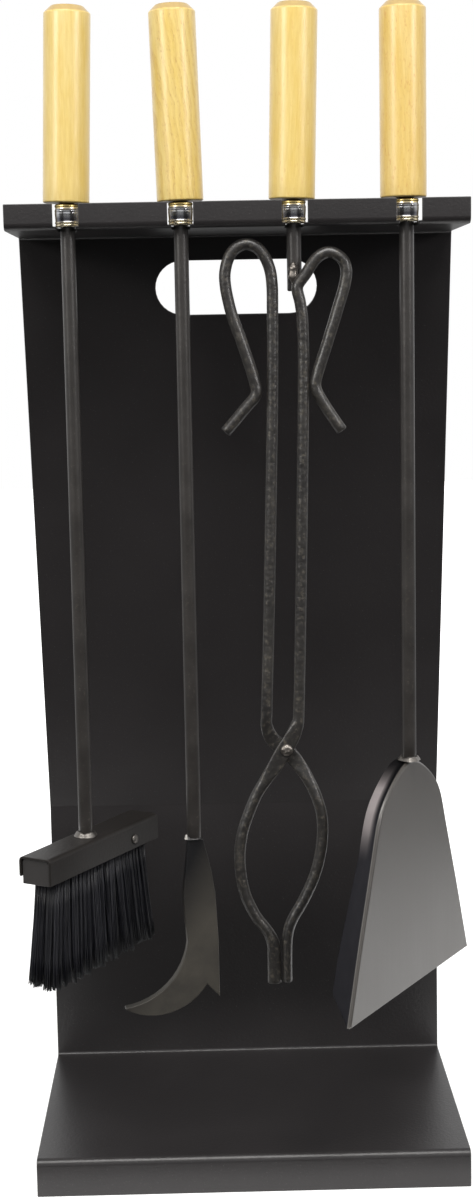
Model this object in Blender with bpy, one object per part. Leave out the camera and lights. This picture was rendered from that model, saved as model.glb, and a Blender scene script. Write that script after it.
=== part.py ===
"""Fireplace tool set: four hanging tools on a stand bent from one steel sheet.

Lengths below are millimetres and are turned into metres when a mesh is made.
X runs to the right, Y runs to the back, Z runs up.  The origin is the middle of
the front lip's lower edge, where the stand meets the hearth.
"""

import math

import bmesh
import bpy
from mathutils import Matrix, Vector

MM = 0.001
GAP = 0.3

# Stand, one bent sheet
SHEET = 2.0
STAND_WIDTH = 250.0
BEND_RADIUS = 3.0
PANEL_BEND_RADIUS = 8.0
BASE_HEIGHT = 22.0
PANEL_Y = 160.0
KNEE_Y = 163.0
KNEE_Z = 188.4
SHELF_Z = 547.0
SHELF_REAR_Y = 80.8
SHELF_LIP_Y = -0.6
LIP_TOP_Z = 560.0
HAND_HOLE = (94.0, 32.0)
HAND_HOLE_Z = 516.5
REAR_FOOT_INSET = 6.0
REAR_FOOT_LEG = 16.0

# Tool places along the shelf
TOOL_PITCH = 61.3
TOOL_Y = 14.4
SLOT_WIDTH = 10.0
NOTCH_WIDTH = 13.8

# Grip: wooden handle, chrome ferrule, round rod
ROD_RADIUS = 4.0
BORE_RADIUS = ROD_RADIUS + GAP
TANG_DEPTH = 40.0
HANDLE_RADIUS = 12.6
HANDLE_LENGTH = 103.0
HANDLE_Z = 561.0
FERRULE_Z = SHELF_Z + SHEET / 2 + GAP
FERRULE_HEIGHT = 12.1
FERRULE_RADIUS = 6.5

# Brush
BRUSH_TURN = 60.0
BRUSH_SHIFT = 5.0
COVER_LENGTH = 111.5
COVER_WIDTH = 21.0
COVER_TOP_Z = 209.0
COVER_FRONT_DROP = 15.0
COVER_REAR_DROP = 11.3
COVER_SHEET = 1.5
BRISTLE_TIP_Z = 132.0

# Poker
POKER_TURN = 12.0
POKER_PLATE = 5.0
POKER_TOP_Z = 206.0

# Tongs
ARM_RADIUS = 3.25
ARM_PLANE_Y = TOOL_Y - ROD_RADIUS - ARM_RADIUS - GAP
RIVET_X = -8.4
RIVET_Z = 258.6
STRAP_HALF = 1.3
STRAP_STEP = 1.5
WELD_BEAD_Z = 521.5
TONGS_ROD_BOTTOM_Z = 512.0

# Shovel
SHOVEL_TURN = 58.5
PAN_SHEET = 1.5
PAN_FACE_OUT = 1.5
PAN_TOP_Z = 249.0
PAN_BOTTOM_Z = 117.0

SEGMENTS = 32


def clear_scene():
    for old in list(bpy.data.objects):
        bpy.data.objects.remove(old, do_unlink=True)


def material(name, colour, roughness, metallic):
    mat = bpy.data.materials.new(name)
    mat.use_nodes = True
    shader = mat.node_tree.nodes["Principled BSDF"]
    shader.inputs["Base Color"].default_value = (*colour, 1.0)
    shader.inputs["Roughness"].default_value = roughness
    shader.inputs["Metallic"].default_value = metallic
    mat.diffuse_color = (*colour, 1.0)
    return mat


def add_object(name, bm, mat, smooth=False, place=Matrix.Identity(4)):
    """Writes a bmesh that is in millimetres as an object in metres."""
    bmesh.ops.transform(bm, matrix=place, verts=bm.verts)
    bmesh.ops.scale(bm, vec=(MM, MM, MM), verts=bm.verts)
    bmesh.ops.recalc_face_normals(bm, faces=bm.faces)
    mesh = bpy.data.meshes.new(name)
    bm.to_mesh(mesh)
    bm.free()
    for polygon in mesh.polygons:
        polygon.use_smooth = smooth
    if mat is not None:
        mesh.materials.append(mat)
    if smooth:
        mesh.set_sharp_from_angle(angle=math.radians(35))
    obj = bpy.data.objects.new(name, mesh)
    bpy.context.scene.collection.objects.link(obj)
    return obj


def hide_cutter(cutter):
    cutter.hide_render = True
    cutter.display_type = "WIRE"


def cut(obj, cutter):
    modifier = obj.modifiers.new("cut_" + cutter.name, "BOOLEAN")
    modifier.operation = "DIFFERENCE"
    modifier.solver = "EXACT"
    modifier.object = cutter
    hide_cutter(cutter)


def loft(rings):
    """A closed skin over rings of points that all have the same count."""
    bm = bmesh.new()
    rows = [[bm.verts.new(point) for point in ring] for ring in rings]
    count = len(rows[0])
    for low, high in zip(rows, rows[1:]):
        for i in range(count):
            j = (i + 1) % count
            bm.faces.new((low[i], low[j], high[j], high[i]))
    bm.faces.new(rows[0])
    bm.faces.new(rows[-1])
    return bm


def circle(radius_x, radius_y, z, segments=SEGMENTS, centre=(0.0, 0.0)):
    turn = 2 * math.pi / segments
    return [
        (
            centre[0] + radius_x * math.cos(i * turn),
            centre[1] + radius_y * math.sin(i * turn),
            z,
        )
        for i in range(segments)
    ]


def lathe(profile, segments=SEGMENTS):
    """A solid of revolution about Z from (radius, z) pairs, capped at both ends."""
    return loft([circle(radius, radius, z, segments) for radius, z in profile])


def tube_lathe(profile, segments=SEGMENTS):
    """A ring about Z from a closed outline of (radius, z) pairs, none on the axis."""
    bm = bmesh.new()
    rows = [
        [bm.verts.new(point) for point in circle(radius, radius, z, segments)]
        for radius, z in profile
    ]
    for low, high in zip(rows, rows[1:] + rows[:1]):
        for i in range(segments):
            j = (i + 1) % segments
            bm.faces.new((low[i], low[j], high[j], high[i]))
    return bm


def prism(outline, axis, start, end):
    """Extrudes a 2-D outline from start to end along X, Y or Z."""
    swap = {"X": (2, 0, 1), "Y": (0, 2, 1), "Z": (0, 1, 2)}[axis]
    rings = []
    for w in (start, end):
        rings.append([tuple((u, v, w)[i] for i in swap) for u, v in outline])
    return loft(rings)


def rectangle(half_u, half_v, corner=0.0, steps=3, centre=(0.0, 0.0)):
    """Corner points of a rectangle, rounded when a corner radius is given."""
    points = []
    for quarter, (side_u, side_v) in enumerate(((1, 1), (-1, 1), (-1, -1), (1, -1))):
        for step in range(steps + 1 if corner else 1):
            angle = math.pi / 2 * (quarter + (step / steps if corner else 0.5))
            points.append(
                (
                    centre[0] + side_u * (half_u - corner) + corner * math.cos(angle),
                    centre[1] + side_v * (half_v - corner) + corner * math.sin(angle),
                )
            )
    return points


def rounded_path(corners, steps):
    """Points and directions along a 2-D polyline whose corners are (u, v, radius)."""
    found = []
    count = len(corners)
    for i, (u, v, radius) in enumerate(corners):
        here = Vector((u, v))
        if i == 0 or i == count - 1:
            other = Vector(corners[1][:2]) if i == 0 else Vector(corners[-2][:2])
            along = (other - here) if i == 0 else (here - other)
            found.append((here, along.normalized()))
            continue
        before = (here - Vector(corners[i - 1][:2])).normalized()
        after = (Vector(corners[i + 1][:2]) - here).normalized()
        turn = before.angle_signed(after)
        reach = radius * math.tan(abs(turn) / 2)
        start = here - before * reach
        side = Vector((-before.y, before.x)) * (-1 if turn > 0 else 1)
        centre = start + side * radius
        for step in range(steps + 1):
            spin = Matrix.Rotation(-turn * step / steps, 2)
            found.append((centre + spin @ (start - centre), spin @ before))
    return found


def sheet_outline(corners, half, steps=5):
    """The two faces of a bent sheet as one closed outline."""
    path = rounded_path(corners, steps)
    left = [point + Vector((-along.y, along.x)) * half for point, along in path]
    right = [point - Vector((-along.y, along.x)) * half for point, along in path]
    return [tuple(point) for point in left + right[::-1]]


def cylinder_along_y(radius, centre_x, centre_z, start, end, segments=20):
    outline = [(x + centre_x, z + centre_z) for x, z, _ in circle(radius, radius, 0, segments)]
    return prism(outline, "Y", start, end)


def tool_x(index):
    """Each tool hangs in the middle of its slot."""
    return (index - 1.5) * TOOL_PITCH


def tool_place(x, turn):
    """From a tool's own frame, with its rod on Z, to its place on the shelf."""
    return Matrix.Translation((x, TOOL_Y, 0)) @ Matrix.Rotation(math.radians(turn), 4, "Z")


def make_stand(paint):
    corners = [
        (0.0, 0.0, 0.0),
        (0.0, BASE_HEIGHT - SHEET / 2, BEND_RADIUS),
        (PANEL_Y, BASE_HEIGHT - SHEET / 2, BEND_RADIUS),
        (KNEE_Y, KNEE_Z, PANEL_BEND_RADIUS),
        (SHELF_REAR_Y, SHELF_Z, BEND_RADIUS),
        (SHELF_LIP_Y, SHELF_Z, BEND_RADIUS),
        (SHELF_LIP_Y, LIP_TOP_Z, 0.0),
    ]
    outline = sheet_outline(corners, SHEET / 2)
    half = STAND_WIDTH / 2
    stand = add_object("stand_sheet", prism(outline, "X", -half, half), paint)

    lean = math.atan2(KNEE_Y - SHELF_REAR_Y, SHELF_Z - KNEE_Z)
    hole_y = KNEE_Y - (HAND_HOLE_Z - KNEE_Z) * math.tan(lean)
    half_long, half_short = HAND_HOLE[0] / 2, HAND_HOLE[1] / 2
    outline = rectangle(half_long, half_short, half_short, steps=8)
    tilt = Matrix.Translation((0, hole_y, HAND_HOLE_Z)) @ Matrix.Rotation(lean, 4, "X")
    cut(stand, add_object("hand_hole_cut", prism(outline, "Y", -12, 12), None, place=tilt))

    for index in range(4):
        x = tool_x(index)
        slot = circle(SLOT_WIDTH / 2, SLOT_WIDTH / 2, 0, 24, (x, TOOL_Y))[:13]
        mouth = [(x - SLOT_WIDTH / 2, -10), (x + SLOT_WIDTH / 2, -10)]
        slot = [(u, v) for u, v, _ in slot] + mouth
        cutter = prism(slot, "Z", SHELF_Z - 8, SHELF_Z + 20)
        cut(stand, add_object(f"slot_cut_{index + 1}", cutter, None))
        notch = rectangle(NOTCH_WIDTH / 2, 10, centre=(x, SHELF_LIP_Y + SHEET * 2 - 10))
        cutter = prism(notch, "Z", SHELF_Z + SHEET / 2, LIP_TOP_Z + 8)
        cut(stand, add_object(f"notch_cut_{index + 1}", cutter, None))


def make_rear_foot(paint):
    top = BASE_HEIGHT - SHEET - GAP
    corners = [
        (PANEL_Y - REAR_FOOT_INSET - REAR_FOOT_LEG, top - SHEET / 2, 0.0),
        (PANEL_Y - REAR_FOOT_INSET, top - SHEET / 2, BEND_RADIUS),
        (PANEL_Y - REAR_FOOT_INSET, SHEET / 2, BEND_RADIUS),
        (PANEL_Y - REAR_FOOT_INSET - REAR_FOOT_LEG, SHEET / 2, 0.0),
    ]
    half = STAND_WIDTH / 2 - 2
    outline = sheet_outline(corners, SHEET / 2, 3)
    add_object("rear_foot", prism(outline, "X", -half, half), paint)


def make_grip(tool, x, tilt, shift, rod_bottom, mats):
    """Handle, ferrule and rod of one tool, all on the rod's axis."""
    place = tool_place(x, 0)
    chamfer_top, chamfer_low = 3.8, 0.8
    profile = [
        (HANDLE_RADIUS - chamfer_low, 0),
        (HANDLE_RADIUS, chamfer_low),
        (HANDLE_RADIUS, HANDLE_LENGTH * 0.5),
        (HANDLE_RADIUS, HANDLE_LENGTH - chamfer_top),
        (HANDLE_RADIUS - chamfer_top, HANDLE_LENGTH),
    ]
    lean = Matrix.Translation((shift, 0, HANDLE_Z)) @ Matrix.Rotation(math.radians(tilt), 4, "Y")
    handle = add_object(tool + "_handle", lathe(profile), mats["wood"], True, place @ lean)
    bore = lathe([(BORE_RADIUS, HANDLE_Z - 5), (BORE_RADIUS, HANDLE_Z + TANG_DEPTH + GAP)])
    cut(handle, add_object(tool + "_bore_cut", bore, None, place=place))

    foot, waist, top = 0.78 * FERRULE_RADIUS, 0.9 * FERRULE_RADIUS, FERRULE_RADIUS
    z = FERRULE_Z
    outline = [
        (BORE_RADIUS, z),
        (foot - 0.2, z),
        (foot, z + 0.4),
        (foot, z + 2.2),
        (waist, z + 3.4),
        (waist, z + 7.8),
        (top, z + 8.5),
        (top, z + FERRULE_HEIGHT - 0.5),
        (top - 0.5, z + FERRULE_HEIGHT),
        (BORE_RADIUS, z + FERRULE_HEIGHT),
    ]
    add_object(tool + "_ferrule", tube_lathe(outline), mats["chrome"], True, place)

    rod_top = HANDLE_Z + TANG_DEPTH
    profile = [(ROD_RADIUS, rod_bottom), (ROD_RADIUS, rod_top - 0.8), (ROD_RADIUS - 0.8, rod_top)]
    add_object(tool + "_rod", lathe(profile, 24), mats["rod"], True, place)


def weld_ring(name, place, z, inner, reach, height, mat):
    """A collar of weld metal round a rod that stands on a flat top."""
    outline = [
        (inner, z),
        (inner + reach, z),
        (inner + 0.86 * reach, z + 0.35 * height),
        (inner + 0.4 * reach, z + 0.8 * height),
        (inner, z + height),
    ]
    add_object(name, tube_lathe(outline, 24), mat, True, place)


def make_brush(mats):
    x = tool_x(0)
    place = tool_place(x, BRUSH_TURN) @ Matrix.Translation((BRUSH_SHIFT, 0, 0))
    half_length, half_width = COVER_LENGTH / 2, COVER_WIDTH / 2
    top, sheet = COVER_TOP_Z, COVER_SHEET
    corners = [
        (sheet / 2 - half_width, top - COVER_FRONT_DROP, 0.0),
        (sheet / 2 - half_width, top - sheet / 2, 1.8),
        (half_width - sheet / 2, top - sheet / 2, 1.8),
        (half_width - sheet / 2, top - COVER_REAR_DROP, 0.0),
    ]
    outline = sheet_outline(corners, sheet / 2, 3)
    cover = add_object(
        "brush_cover", prism(outline, "X", -half_length, half_length), mats["cover"], False, place
    )
    side = half_width - sheet - GAP
    low, high = top - COVER_FRONT_DROP - 0.5, top - sheet - GAP
    edge = 1.2
    right = [(side, low), (side, high - edge), (side - edge, high)]
    outline = right + [(-v, z) for v, z in right[::-1]]
    block = add_object(
        "brush_block",
        prism(outline, "X", 0.8 - half_length, half_length - 0.8),
        mats["block"],
        False,
        place,
    )

    rivet_x, rivet_z, shank, head = 29.5, top - 9.4, 1.5, 2.8
    outward = Matrix.Rotation(math.pi / 2, 4, "X")
    rivet_place = place @ Matrix.Translation((rivet_x, -half_width, rivet_z)) @ outward
    hole = lathe([(shank + GAP, -9), (shank + GAP, 6)], 16)
    cutter = add_object("brush_rivet_cut", hole, None, place=rivet_place)
    cut(cover, cutter)
    cut(block, cutter)
    profile = [
        (shank, -8.6),
        (shank, GAP),
        (head, GAP),
        (0.93 * head, GAP + 0.6),
        (0.7 * head, GAP + 1.15),
        (0.3 * head, GAP + 1.4),
    ]
    add_object("brush_rivet", lathe(profile, 20), mats["bright"], True, rivet_place)

    bristle_top = low - GAP
    rings = []
    for half_u, half_v, z in ((42, 6.6, bristle_top), (48.5, 8.4, 165), (55.5, 11.0, BRISTLE_TIP_Z)):
        rings.append([(u, v, z) for u, v in rectangle(half_u, half_v, 3.0, 2)])
    add_object("brush_bristles", loft(rings), mats["bristle"], False, place)
    weld_ring("brush_weld", tool_place(x, 0), top + GAP, BORE_RADIUS, 2.8, 2.8, mats["bright"])


def arc_points(centre, radius, start, end, steps):
    """Points on a circle from one angle to another, in degrees."""
    return [
        (
            centre[0] + radius * math.cos(math.radians(start + (end - start) * i / steps)),
            centre[1] + radius * math.sin(math.radians(start + (end - start) * i / steps)),
        )
        for i in range(steps + 1)
    ]


def make_poker(mats):
    place = tool_place(tool_x(1), POKER_TURN)
    outer = arc_points((-24.0, 139.2), 35.0, 238.5, 327, 12)
    inner = arc_points((-45.2, 150.4), 40.0, 274.3, 354, 12)
    stem_left = [(-7.4, 173.5), (-3.9, POKER_TOP_Z)]
    stem_right = [(4.7, POKER_TOP_Z), (6.9, 197.0), (9.3, 186.5), (11.2, 174.0), (12.6, 146.0)]
    stem_right += [(12.8, 112.0)]
    outline = outer + stem_right[::-1] + stem_left[::-1] + inner[::-1]
    half = POKER_PLATE / 2
    add_object("poker_blade", prism(outline, "Y", -half, half), mats["blade"], False, place)
    weld_place = tool_place(tool_x(1), 0)
    ring = [
        (BORE_RADIUS, POKER_TOP_Z + GAP),
        (BORE_RADIUS + 0.9, POKER_TOP_Z + 0.6),
        (BORE_RADIUS + 1.1, POKER_TOP_Z + 1.4),
        (BORE_RADIUS + 0.7, POKER_TOP_Z + 2.4),
        (BORE_RADIUS, POKER_TOP_Z + 3.0),
    ]
    add_object("poker_weld", tube_lathe(ring, 20), mats["weld"], True, weld_place)


def smooth_stations(stations, steps):
    """A smooth curve through stations; each station is (x, z, then any other values)."""
    knots = [0.0]
    for a, b in zip(stations, stations[1:]):
        knots.append(knots[-1] + math.sqrt(math.dist(a[:2], b[:2])))
    last = len(stations) - 1
    slopes = []
    for k in range(last + 1):
        low, high = max(k - 1, 0), min(k + 1, last)
        span = knots[high] - knots[low]
        slopes.append([(b - a) / span for a, b in zip(stations[low], stations[high])])
    found = []
    for k in range(last):
        span = knots[k + 1] - knots[k]
        for step in range(steps):
            t = step / steps
            ease = t * t * (3 - 2 * t)
            leave, arrive = t * (1 - t) ** 2 * span, t * t * (t - 1) * span
            values = zip(stations[k], stations[k + 1], slopes[k], slopes[k + 1])
            found.append([a + (b - a) * ease + leave * m + arrive * n for a, b, m, n in values])
    return found + [list(stations[-1])]


def sweep_arm(stations, steps=4, sides=12):
    """A bent bar in the XZ plane from (x, z, half width, half thickness, y) stations."""
    path = smooth_stations(stations, steps)
    rings = []
    for i, (x, z, wide, thick, y) in enumerate(path):
        before, after = path[max(i - 1, 0)], path[min(i + 1, len(path) - 1)]
        along = Vector((after[0] - before[0], after[1] - before[1])).normalized()
        ring = []
        for k in range(sides):
            angle = 2 * math.pi * (k + 0.5) / sides
            across = wide * math.cos(angle)
            ring.append((x - along.y * across, y + thick * math.sin(angle), z + along.x * across))
        rings.append(ring)
    return loft(rings)


def bar(x, z):
    """A station of a round bar in the tongs' own plane."""
    return (x, z, ARM_RADIUS, ARM_RADIUS, 0.0)


def make_tongs(mats):
    x = tool_x(2)
    place = tool_place(x, 0) @ Matrix.Translation((0, ARM_PLANE_Y - TOOL_Y, 0))
    front, back = -STRAP_STEP, STRAP_STEP

    def strap(sx, sz, side, wide=4.6, thick=STRAP_HALF):
        return (sx, sz, wide, thick, side)

    right = [bar(24.3, 436.4), bar(15.0, 450.6), bar(10.5, 459.6), bar(11.4, 466.5)]
    right += [bar(17.0, 483.5), bar(22.8, 501.5), bar(27.6, 518.5), bar(26.4, 527.5)]
    right += [bar(19.4, 532.2), bar(12.2, 529.6), bar(5.6, 520.6), bar(1.2, 514.0)]
    right += [bar(2.6, 505.5), bar(3.8, 495.0), bar(3.8, 461.0), bar(0.8, 343.0), bar(-1.2, 279.5)]
    right += [(-2.2, 272.5, 3.7, 2.6, -0.6), strap(-5.8, 264.5, front, 4.4), strap(-10.4, 257.0, front)]
    right += [strap(-15.2, 249.0, front, 4.2), (-20.8, 240.5, 3.5, 2.4, -0.7), bar(-26.8, 230.0)]
    right += [bar(-34.0, 210.0), bar(-35.6, 193.0), bar(-33.2, 176.0), bar(-27.4, 162.5)]
    right += [bar(-20.8, 153.4), (-17.6, 146.0, 3.7, 3.2, 0.0), (-17.0, 136.0, 4.0, 2.8, 0.0)]
    right += [(-17.0, 122.8, 4.0, 2.6, 0.0)]

    left = [bar(-39.0, 436.6), bar(-28.2, 449.0), bar(-22.2, 456.4), bar(-22.8, 463.5)]
    left += [bar(-28.9, 483.4), bar(-35.0, 501.4), bar(-38.0, 518.0), bar(-36.7, 527.6)]
    left += [bar(-33.0, 534.2), bar(-26.3, 537.4), bar(-19.6, 534.6), bar(-14.9, 527.6)]
    left += [bar(-12.7, 518.0), bar(-12.5, 501.0)]
    left += [bar(-13.3, 452.8), bar(-16.7, 343.1), bar(-19.1, 281.0)]
    left += [(-19.2, 271.5, 3.5, 2.6, 0.8), strap(-15.6, 263.4, back, 4.2), strap(-8.6, 257.6, back)]
    left += [strap(-2.4, 250.2, back, 4.2), (3.0, 242.0, 3.5, 2.4, 0.8), bar(8.0, 231.0)]
    left += [bar(11.0, 219.0), bar(10.8, 203.5), bar(7.2, 187.0), bar(0.4, 171.4)]
    left += [bar(-6.6, 159.0), (-9.2, 150.0, 3.1, 3.6, 0.0), (-9.6, 136.0, 2.8, 3.9, 0.0)]
    left += [(-9.6, 123.6, 2.8, 3.7, 0.0)]

    for name, stations in (("tongs_arm_right", right), ("tongs_arm_left", left)):
        arm = add_object(name, sweep_arm(stations), mats["hammered"], True, place)
        hole = cylinder_along_y(2.1, RIVET_X, RIVET_Z, -6, 6)
        cut(arm, add_object(name + "_rivet_cut", hole, None, place=place))

    reach = STRAP_STEP + STRAP_HALF + GAP
    profile = [
        (1.9, -reach - 1.9),
        (3.0, -reach - 1.3),
        (3.5, -reach - 0.5),
        (3.5, -reach),
        (1.8, -reach),
        (1.8, reach),
        (3.3, reach),
        (3.0, reach + 1.0),
        (1.7, reach + 1.4),
    ]
    turn = Matrix.Translation((RIVET_X, 0, RIVET_Z)) @ Matrix.Rotation(-math.pi / 2, 4, "X")
    add_object("tongs_rivet", lathe(profile, 20), mats["weld"], True, place @ turn)

    bead = add_object("tongs_weld", weld_bead(), mats["weld"], True, tool_place(x, 0))
    rod = lathe([(BORE_RADIUS, 480), (BORE_RADIUS, 560)], 24)
    cut(bead, add_object("tongs_weld_rod_cut", rod, None, place=tool_place(x, 0)))
    wider = [(a, b, wide + GAP, thick + GAP, y) for a, b, wide, thick, y in right[8:16]]
    cut(bead, add_object("tongs_weld_arm_cut", sweep_arm(wider), None, place=place))


def weld_bead():
    """A lump of weld metal in the groove between the hanging rod and the bent bar."""
    rings = []
    for step in range(9):
        angle = math.pi * (step + 0.5) / 9
        spread = math.sin(angle)
        z = WELD_BEAD_Z - 5.5 * math.cos(angle)
        rings.append(circle(2.8 * spread, 2.6 * spread, z, 14, (-0.8, -5.4)))
    return loft(rings)


def pan_outline():
    """Right half of the pan's outline from the bottom corner up to the middle, (u, z)."""
    side = [(79.0, PAN_BOTTOM_Z), (63.2, 162.0), (53.8, 187.0)]
    shoulder = [(48.0, 202.5), (44.0, 214.0), (40.6, 222.5), (36.0, 229.2), (30.0, 234.8)]
    crown = [(22.5, 240.2), (15.0, 244.6), (7.5, 247.8)]
    return side + shoulder + crown


def flange_depth(z):
    """How far the pan's rim stands off its face: deepest low down, nothing at the corner."""
    deep, shallow, full_z = 12.0, 8.5, PAN_BOTTOM_Z + 16.0
    if z < full_z:
        return 0.2 + deep * (z - PAN_BOTTOM_Z) / (full_z - PAN_BOTTOM_Z)
    return shallow + (deep - shallow) * max(0.0, min(1.0, (205.0 - z) / 55.0))


def make_pan(mats, place):
    half = pan_outline()
    first, second = half[0], half[1]
    flare = [Vector(first).lerp(Vector(second), part) for part in (0.29, 0.65)]
    half = [first] + [tuple(point) for point in flare] + half[1:]
    outline = half + [(0.0, PAN_TOP_Z)] + [(-u, z) for u, z in half[::-1]]
    count = len(outline)
    inner = []
    for i, (u, z) in enumerate(outline):
        before, after = outline[max(i - 1, 0)], outline[min(i + 1, count - 1)]
        along = Vector((after[0] - before[0], after[1] - before[1])).normalized()
        inner.append((u - along.y * PAN_SHEET, z + along.x * PAN_SHEET))
    for i in (0, count - 1):
        inner[i] = (outline[i][0] - math.copysign(PAN_SHEET * 1.07, outline[i][0]), PAN_BOTTOM_Z)

    def row(points, depth_of):
        return [(u, depth_of(z) - PAN_FACE_OUT, z) for u, z in points]

    bm = bmesh.new()
    rows = [
        row(outline, lambda z: 0.0),
        [(u, PAN_SHEET + flange_depth(z) - PAN_FACE_OUT, z) for u, z in outline],
        [
            (u, PAN_SHEET + flange_depth(outer_z) - PAN_FACE_OUT, z)
            for (u, z), (_, outer_z) in zip(inner, outline)
        ],
        row(inner, lambda z: PAN_SHEET),
    ]
    rows = [[bm.verts.new(point) for point in points] for points in rows]
    for low, high in zip(rows, rows[1:]):
        for i in range(count - 1):
            bm.faces.new((low[i], low[i + 1], high[i + 1], high[i]))
    face_sheet, hollow = rows[0], rows[3]
    bm.faces.new(face_sheet)
    bm.faces.new(hollow)
    front, rim, inside_rim, inside = ((points[0], points[-1]) for points in rows)
    right_side = (front[1], rim[1], inside_rim[1], inside[1])
    left_side = (inside[0], inside_rim[0], rim[0], front[0])
    bm.faces.new(right_side + left_side)
    bmesh.ops.triangulate(bm, faces=[f for f in bm.faces if len(f.verts) > 4])
    return add_object("shovel_pan", bm, mats["pan"], False, place)


def make_shovel(mats):
    place = tool_place(tool_x(3), SHOVEL_TURN)
    make_pan(mats, place)
    top = PAN_TOP_Z + GAP
    ring = [
        (BORE_RADIUS, top),
        (BORE_RADIUS + 2.6, top),
        (BORE_RADIUS + 2.2, top + 1.0),
        (BORE_RADIUS + 0.9, top + 2.2),
        (BORE_RADIUS, top + 2.8),
    ]
    add_object("shovel_weld", tube_lathe(ring, 20), mats["bright"], True, tool_place(tool_x(3), 0))


def main():
    clear_scene()
    mats = {
        "paint": material("black_powder_coat", (0.035, 0.033, 0.035), 0.42, 0.0),
        "wood": material("pale_wood", (0.78, 0.58, 0.26), 0.3, 0.0),
        "chrome": material("chrome", (0.78, 0.78, 0.78), 0.1, 1.0),
        "rod": material("black_rod", (0.05, 0.048, 0.05), 0.35, 0.0),
        "cover": material("cover_paint", (0.09, 0.085, 0.085), 0.4, 0.0),
        "block": material("block_plastic", (0.06, 0.055, 0.055), 0.6, 0.0),
        "bristle": material("black_bristle", (0.02, 0.02, 0.025), 0.6, 0.0),
        "bright": material("bright_steel", (0.75, 0.74, 0.72), 0.25, 1.0),
        "weld": material("weld_metal", (0.2, 0.19, 0.18), 0.4, 1.0),
        "blade": material("blade_steel", (0.13, 0.125, 0.115), 0.5, 0.6),
        "hammered": material("hammered_paint", (0.11, 0.1, 0.095), 0.4, 0.4),
        "pan": material("pan_steel", (0.22, 0.215, 0.2), 0.45, 0.6),
    }
    make_stand(mats["paint"])
    make_rear_foot(mats["paint"])
    bottoms = (COVER_TOP_Z + GAP, POKER_TOP_Z + GAP, TONGS_ROD_BOTTOM_Z, PAN_TOP_Z + GAP)
    tools = ("brush", "poker", "tongs", "shovel")
    tilts, shifts = (2.0, -1.4, 1.5, 0.0), (-0.4, 0.0, -0.9, -1.6)
    for index, (tool, tilt, shift, bottom) in enumerate(zip(tools, tilts, shifts, bottoms)):
        make_grip(tool, tool_x(index), tilt, shift, bottom, mats)
    make_brush(mats)
    make_poker(mats)
    make_tongs(mats)
    make_shovel(mats)


main()
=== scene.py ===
"""Looks of the fireplace tool set: four tools hanging on a stand bent from one black sheet.

Lengths are millimetres until a mesh is finished, then metres in the shared frame.
X runs to the right, Y to the back, Z up, from the front lip's lower edge.
"""

import math

import bmesh
import bpy
from mathutils import Matrix, Vector, noise


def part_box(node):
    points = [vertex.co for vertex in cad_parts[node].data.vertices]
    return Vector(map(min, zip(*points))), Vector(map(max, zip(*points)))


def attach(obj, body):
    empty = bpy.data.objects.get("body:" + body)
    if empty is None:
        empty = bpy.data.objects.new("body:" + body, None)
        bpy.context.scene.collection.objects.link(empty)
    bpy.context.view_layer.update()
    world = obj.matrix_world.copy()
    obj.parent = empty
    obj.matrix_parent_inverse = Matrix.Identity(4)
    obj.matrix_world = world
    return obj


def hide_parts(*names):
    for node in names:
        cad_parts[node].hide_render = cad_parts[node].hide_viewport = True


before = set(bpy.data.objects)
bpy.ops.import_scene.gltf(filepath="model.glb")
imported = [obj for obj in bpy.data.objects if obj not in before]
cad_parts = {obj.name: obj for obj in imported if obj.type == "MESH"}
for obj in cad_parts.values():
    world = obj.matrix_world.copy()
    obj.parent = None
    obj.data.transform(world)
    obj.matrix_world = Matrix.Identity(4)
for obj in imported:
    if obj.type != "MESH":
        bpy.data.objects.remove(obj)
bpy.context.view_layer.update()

MM = 0.001
GAP = 0.3

# Places and sizes of the tools, as in the solid model
TOOLS = ("brush", "poker", "tongs", "shovel")
TOOL_Y = 14.4
ROD_RADIUS = 4.0
HANDLE_RADIUS = 12.6
SHELF_TOP_Z = 548.0
HANDLE_LENGTH = 103.0
HANDLE_Z = 561.0
HANDLE_CHAMFER = 3.8
HANDLE_TILTS = dict(zip(TOOLS, (2.0, -1.4, 1.5, 0.0)))
HANDLE_SHIFTS = dict(zip(TOOLS, (-0.4, 0.0, -0.9, -1.6)))
BRUSH_TURN = 60.0
BRUSH_SHIFT = 5.0
SHOVEL_TURN = 58.5
PAN_SHEET = 1.5
PAN_TOP_Z = 249.0
PAN_BOTTOM_Z = 117.0
ARM_RADIUS = 3.25
ARM_PLANE_Y = TOOL_Y - ROD_RADIUS - ARM_RADIUS - GAP
STRAP_HALF = 1.3
STRAP_STEP = 1.5
RIVET_X = -8.4
RIVET_Z = 258.6
ROD_FEET = dict(zip(TOOLS, (209.3, 206.3, 512.0, 249.3)))
SOCKET_RADIUS = 4.4
FERRULE_BORE = 4.3
FERRULE_SPARE = 0.28
TUFTS_ROOT = (0.088, 0.0120)
TUFTS_TIP = (0.1045, 0.0168)

# Studio, in metres and watts
NEAR_FLOOR = ((-0.6, -0.035), (0.6, 0.7))
FLOOR_HALF = 5.0
WORLD_FRONT_LOW = 0.035
WORLD_FRONT_HIGH = 0.70
WORLD_BACK_LOW = 0.35
WORLD_BACK_HIGH = 1.15
WORLD_TOP = 0.5
CAMERA_PLACE = (-0.0180, -1.0203, 0.4910)
CAMERA_PITCH, CAMERA_YAW, CAMERA_ROLL = 8.171, 0.784, 1.046
CAMERA_SENSOR, CAMERA_LENS = 36.0, 56.19
MIDDLE = (0.0, 0.0, 0.55)
SOFT_BOXES = (
    ("top_light", (0.0, -0.90, 1.8), (0.0, -0.02, 0.1), (1.6, 0.8), 36.0, (1.0, 0.985, 0.96)),
    ("left_light", (-2.05, -1.60, 1.22), MIDDLE, (0.75, 0.5), 24.0, (1.0, 0.975, 0.93)),
    ("right_light", (2.05, -1.60, 1.22), MIDDLE, (0.75, 0.5), 20.0, (1.0, 0.97, 0.955)),
)


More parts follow.
